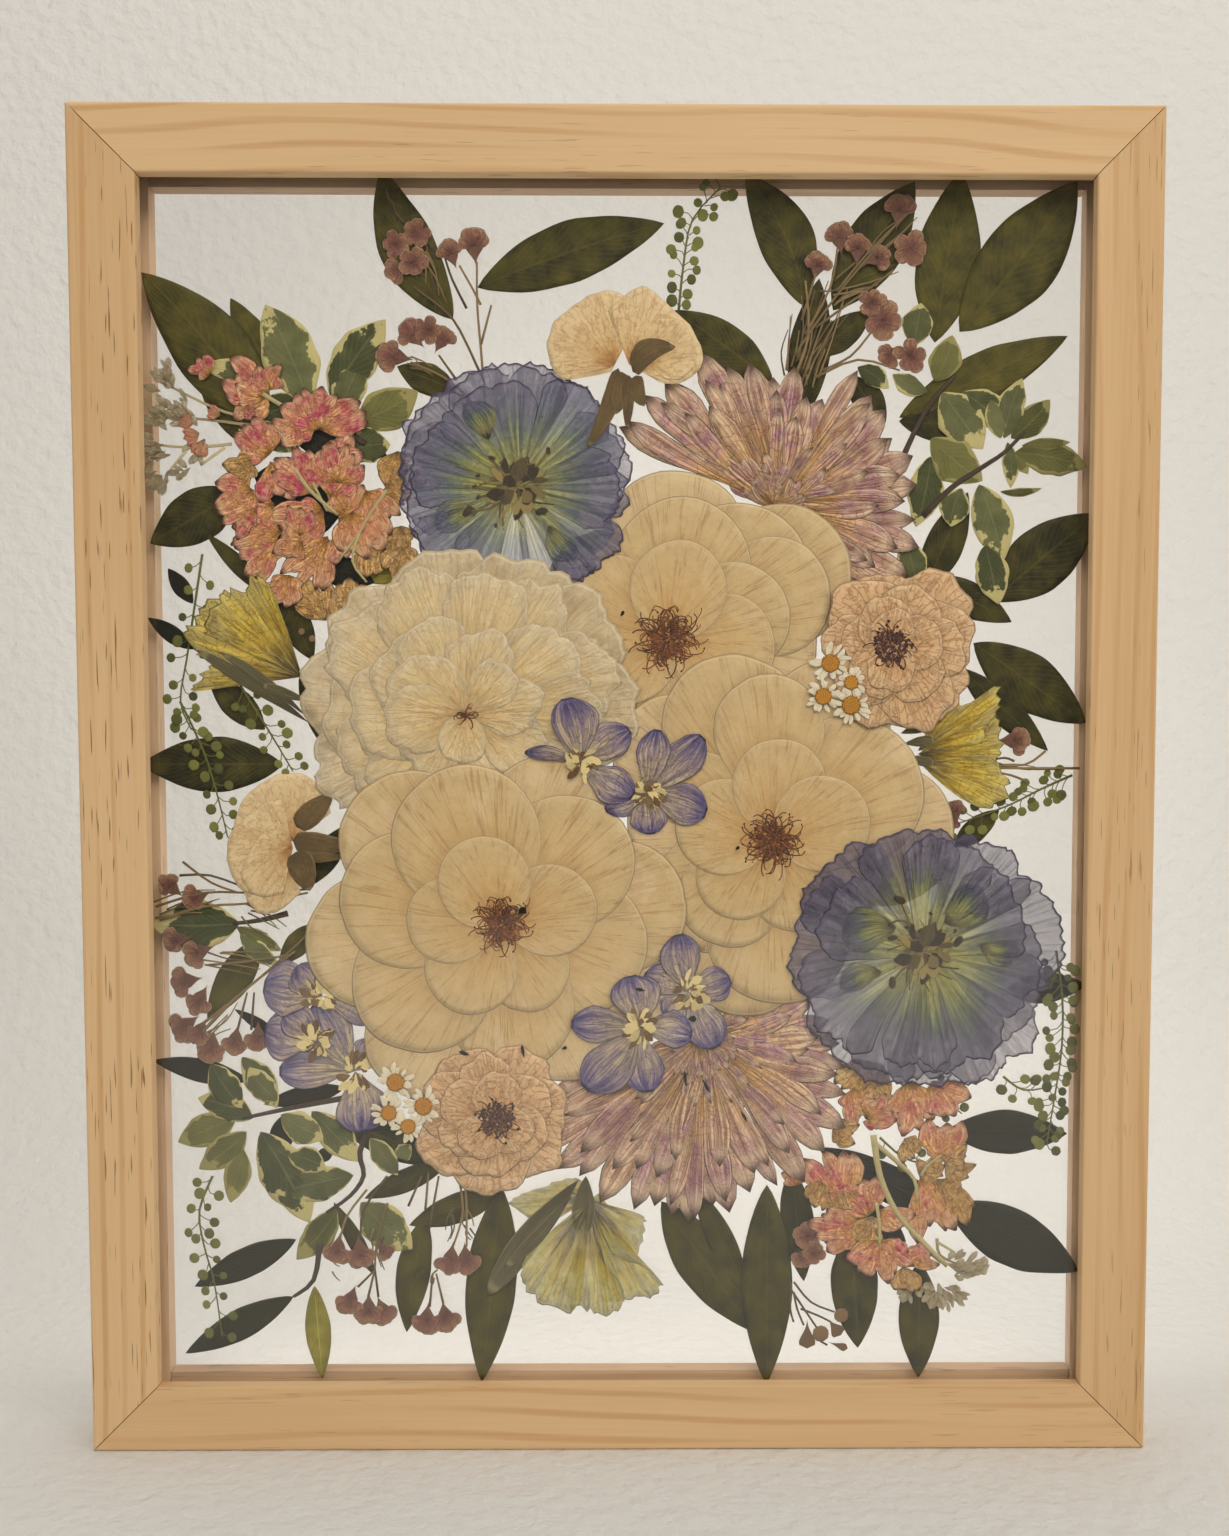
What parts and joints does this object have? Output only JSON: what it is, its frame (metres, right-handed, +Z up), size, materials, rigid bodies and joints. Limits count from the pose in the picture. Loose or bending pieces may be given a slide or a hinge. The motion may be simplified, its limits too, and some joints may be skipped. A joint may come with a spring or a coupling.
{
  "type": "pressed flower frame",
  "caption": "Upright pine picture frame with two clear panes and dried flowers, sprigs and leaves pressed flat between them.",
  "frame": {"origin": "middle of the bottom edge's footprint, on the surface that the frame stands on", "axes": "+Z up, -Y out of the front towards the viewer, +X to the viewer's right"},
  "size_m": [0.3048, 0.0222, 0.381],
  "materials": {
    "pine": "clear sealed pine, satin",
    "glass": "clear flat pane",
    "cream_petal": "dry papery petal with fine veins",
    "ivory_petal": "dry papery petal, thin enough to show what lies below",
    "periwinkle_petal": "dry papery petal, green towards the middle",
    "peach_petal": "dry crinkled petal",
    "mauve_petal": "dry narrow petals, tan towards the base",
    "coral_petal": "dry crumpled florets",
    "white_petal": "dry white rays with a golden disc",
    "violet_petal": "dry petal, pale towards the base",
    "yellow_petal": "dry petal with brown streaks",
    "waxflower": "dry cup on a thin stem",
    "pennycress": "dry flat pods on hair-thin stalks",
    "variegated_leaf": "dry leaf with a pale toothed edge",
    "dark_leaf": "dry leaf, matte"
  },
  "bodies": {
    "root": {"frame_bottom": "pine", "frame_left": "pine", "frame_top": "pine", "frame_right": "pine", "strip_left": "pine", "strip_right": "pine", "strip_bottom": "pine", "strip_top": "pine", "front_glass": "glass", "back_glass": "glass", "rose_lower": "cream_petal", "rose_middle": "cream_petal", "rose_upper": "cream_petal", "double_rose": "ivory_petal", "lisianthus_upper": "periwinkle_petal", "lisianthus_lower": "periwinkle_petal", "spray_rose_right": "peach_petal", "spray_rose_lower": "peach_petal", "rosebud_top": "peach_petal", "rosebud_left": "peach_petal", "chrysanthemum_upper": "mauve_petal", "chrysanthemum_lower": "mauve_petal", "stock_upper": "coral_petal", "stock_floret": "coral_petal", "stock_lower": "coral_petal", "feverfew_right": "white_petal", "feverfew_left": "white_petal", "delphinium_centre_left": "violet_petal", "delphinium_centre_right": "violet_petal", "delphinium_lower_left": "violet_petal", "delphinium_lower_right": "violet_petal", "delphinium_side_upper": "violet_petal", "delphinium_side_middle": "violet_petal", "delphinium_side_lower": "violet_petal", "freesia_left": "yellow_petal", "freesia_right": "yellow_petal", "freesia_bottom": "yellow_petal", "waxflower_top_left": "waxflower", "waxflower_top_right": "waxflower", "waxflower_left": "waxflower", "waxflower_bottom_left": "waxflower", "waxflower_bottom_middle": "waxflower", "pennycress_top": "pennycress", "pennycress_left_upper": "pennycress", "pennycress_left_lower": "pennycress", "pennycress_right_upper": "pennycress", "pennycress_right_lower": "pennycress", "pennycress_bottom_left": "pennycress", "pittosporum_top_left": "variegated_leaf", "pittosporum_right": "variegated_leaf", "pittosporum_bottom_left": "variegated_leaf", "pittosporum_left": "variegated_leaf", "leaf_corner_left": "dark_leaf", "leaf_top_left": "dark_leaf", "leaf_top_middle": "dark_leaf", "leaf_top_right": "dark_leaf", "leaf_upright_right": "dark_leaf", "leaf_bottom_left": "dark_leaf", "leaf_bottom_middle": "dark_leaf", "leaf_bottom_right": "dark_leaf"}
  },
  "joints": []
}
